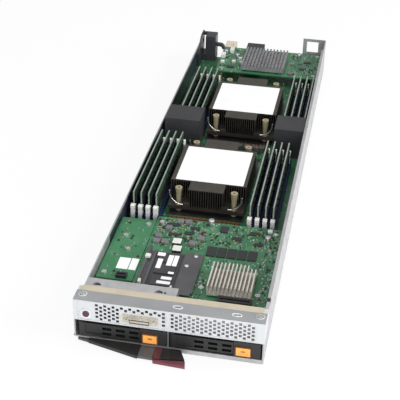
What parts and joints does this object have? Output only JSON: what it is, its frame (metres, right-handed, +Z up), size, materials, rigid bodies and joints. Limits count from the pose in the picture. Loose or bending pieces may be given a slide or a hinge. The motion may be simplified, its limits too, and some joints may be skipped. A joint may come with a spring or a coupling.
{
  "type": "blade server",
  "caption": "Half-height two-processor blade server in an open steel tray, with hot-swap drive carriers, ejector lever, finned heat sinks, memory banks and rear connectors.",
  "frame": {"origin": "centre of the tray's underside, halfway between its side walls and between its front face and rear edge", "axes": "+X to the right seen from the front, +Y from the front face to the rear connectors, +Z up out of the open tray"},
  "size_m": [0.1668, 0.6442, 0.0442],
  "materials": {
    "zinc_steel": "zinc-plated sheet, satin",
    "bezel_steel": "light silver paint, fine grain",
    "cage_steel": "zinc-plated sheet, satin",
    "gasket_cloth": "woven conductive cloth over foam, tan",
    "circuit_board": "green solder mask, semi-gloss",
    "memory_board": "dark green board with black packages",
    "charcoal_plastic": "moulded, fine texture",
    "black_plastic": "moulded, fine texture",
    "duct_plastic": "moulded, smooth matte",
    "orange_plastic": "orange, semi-gloss",
    "maroon_plastic": "dark red-brown, satin",
    "ivory_plastic": "ivory, satin",
    "navy_plastic": "navy blue, satin",
    "beige_plastic": "beige, satin",
    "pale_ring": "translucent white, satin",
    "dark_fins": "dark coated fins",
    "pale_fins": "anodised, satin",
    "grey_fins": "anodised, satin",
    "spreader_nickel": "nickel-plated copper, satin",
    "socket_steel": "stainless frame and black socket",
    "fastener_brass": "nickel-tinted brass, satin",
    "screw_steel": "nickel-plated",
    "wire_steel": "bright spring wire",
    "lever_steel": "dark grey coating",
    "drive_metal": "cast and pressed, satin",
    "choke_ferrite": "grey ferrite",
    "capacitor_body": "brown ceramic",
    "package_black": "black epoxy",
    "port_shell": "warm nickel plating"
  },
  "bodies": {
    "chassis": {"base_tray": "zinc_steel", "front_bezel": "bezel_steel", "cover_gasket": "gasket_cloth", "front_shelf": "zinc_steel", "drive_cage": "cage_steel", "drive_backplane": "circuit_board", "main_board": "circuit_board", "front_left_board": "circuit_board", "front_right_board": "circuit_board", "rear_board": "circuit_board", "standoffs": "fastener_brass", "screws": "screw_steel", "cpu_sockets": "socket_steel", "processors": "spreader_nickel", "heatsink_1": "dark_fins", "heatsink_2": "dark_fins", "heatsink_nuts": "fastener_brass", "dimm_sockets_1": "navy_plastic", "dimm_sockets_2": "navy_plastic", "memory_modules_1": "memory_board", "memory_modules_2": "memory_board", "air_duct_left": "duct_plastic", "air_duct_right": "duct_plastic", "vrm_chokes": "choke_ferrite", "vrm_capacitors": "capacitor_body", "board_chips": "package_black", "board_connectors": "black_plastic", "chipset_heatsink": "pale_fins", "mezzanine_heatsink": "grey_fins", "m2_carrier": "charcoal_plastic", "m2_module": "package_black", "power_connector_rear": "beige_plastic", "signal_connector_rear": "black_plastic", "guide_block_rear": "black_plastic", "support_frame_rear": "zinc_steel", "console_port": "port_shell", "button_bush": "pale_ring", "lever_pin": "screw_steel"},
    "lever": {"lever_arm": "lever_steel", "lever_shroud": "black_plastic", "lever_grip": "black_plastic"},
    "lever_latch": {"lever_release": "maroon_plastic"},
    "button": {"power_button": "maroon_plastic"},
    "bay_left": {"carrier_left": "charcoal_plastic", "drive_left": "drive_metal"},
    "bay_right": {"carrier_right": "charcoal_plastic", "drive_right": "drive_metal"},
    "bay_handle_left": {"handle_left": "charcoal_plastic"},
    "bay_handle_right": {"handle_right": "charcoal_plastic"},
    "bay_release_left": {"release_left": "orange_plastic"},
    "bay_release_right": {"release_right": "orange_plastic"},
    "memory_latches_1_front": {"latches_1_front": "ivory_plastic"},
    "memory_latches_1_rear": {"latches_1_rear": "ivory_plastic"},
    "memory_latches_2_front": {"latches_2_front": "ivory_plastic"},
    "memory_latches_2_rear": {"latches_2_rear": "ivory_plastic"},
    "wires_1_front": {"tilt_wires_1_front": "wire_steel"},
    "wires_1_rear": {"tilt_wires_1_rear": "wire_steel"},
    "wires_2_front": {"tilt_wires_2_front": "wire_steel"},
    "wires_2_rear": {"tilt_wires_2_rear": "wire_steel"}
  },
  "joints": [
    {"name": "ejector_lever", "type": "hinge", "parent": "chassis", "child": "lever", "pos_m": [-0.075, -0.292, 0.0013], "axis": [0, 0, -1], "range_deg": [0, 65]},
    {"name": "lever_latch_slide", "type": "slide", "parent": "lever", "child": "lever_latch", "axis": [0, 1, 0], "range_m": [0, 0.001], "stiffness_N_per_m": 500},
    {"name": "power_button_press", "type": "slide", "parent": "chassis", "child": "button", "axis": [0, 1, 0], "range_m": [0, 0.0008], "stiffness_N_per_m": 500},
    {"name": "drive_bay_left_slide", "type": "slide", "parent": "chassis", "child": "bay_left", "axis": [0, -1, 0], "range_m": [0, 0.1]},
    {"name": "drive_handle_left", "type": "hinge", "parent": "bay_left", "child": "bay_handle_left", "pos_m": [-0.0768, -0.2964, 0.0125], "axis": [0, 0, -1], "range_deg": [0, 70]},
    {"name": "drive_release_left_press", "type": "slide", "parent": "bay_left", "child": "bay_release_left", "axis": [0, 1, 0], "range_m": [0, 0.0012], "stiffness_N_per_m": 500},
    {"name": "drive_bay_right_slide", "type": "slide", "parent": "chassis", "child": "bay_right", "axis": [0, -1, 0], "range_m": [0, 0.1]},
    {"name": "drive_handle_right", "type": "hinge", "parent": "bay_right", "child": "bay_handle_right", "pos_m": [0.0038, -0.2964, 0.0125], "axis": [0, 0, -1], "range_deg": [0, 70]},
    {"name": "drive_release_right_press", "type": "slide", "parent": "bay_right", "child": "bay_release_right", "axis": [0, 1, 0], "range_m": [0, 0.0012], "stiffness_N_per_m": 500},
    {"name": "memory_latch_1_front", "type": "hinge", "parent": "chassis", "child": "memory_latches_1_front", "pos_m": [0, -0.11895, 0.012], "axis": [1, 0, 0], "range_deg": [0, 24]},
    {"name": "memory_latch_1_rear", "type": "hinge", "parent": "chassis", "child": "memory_latches_1_rear", "pos_m": [0, 0.0212, 0.012], "axis": [-1, 0, 0], "range_deg": [0, 24]},
    {"name": "memory_latch_2_front", "type": "hinge", "parent": "chassis", "child": "memory_latches_2_front", "pos_m": [0, 0.05395, 0.012], "axis": [1, 0, 0], "range_deg": [0, 24]},
    {"name": "memory_latch_2_rear", "type": "hinge", "parent": "chassis", "child": "memory_latches_2_rear", "pos_m": [0, 0.1941, 0.012], "axis": [-1, 0, 0], "range_deg": [0, 24]},
    {"name": "tilt_wire_1_front", "type": "hinge", "parent": "chassis", "child": "wires_1_front", "pos_m": [0, -0.0966, 0.0192], "axis": [1, 0, 0], "range_deg": [0, 75]},
    {"name": "tilt_wire_1_rear", "type": "hinge", "parent": "chassis", "child": "wires_1_rear", "pos_m": [0, 0.0106, 0.0192], "axis": [-1, 0, 0], "range_deg": [0, 75]},
    {"name": "tilt_wire_2_front", "type": "hinge", "parent": "chassis", "child": "wires_2_front", "pos_m": [0, 0.0674, 0.0192], "axis": [1, 0, 0], "range_deg": [0, 75]},
    {"name": "tilt_wire_2_rear", "type": "hinge", "parent": "chassis", "child": "wires_2_rear", "pos_m": [0, 0.1746, 0.0192], "axis": [-1, 0, 0], "range_deg": [0, 75]}
  ]
}
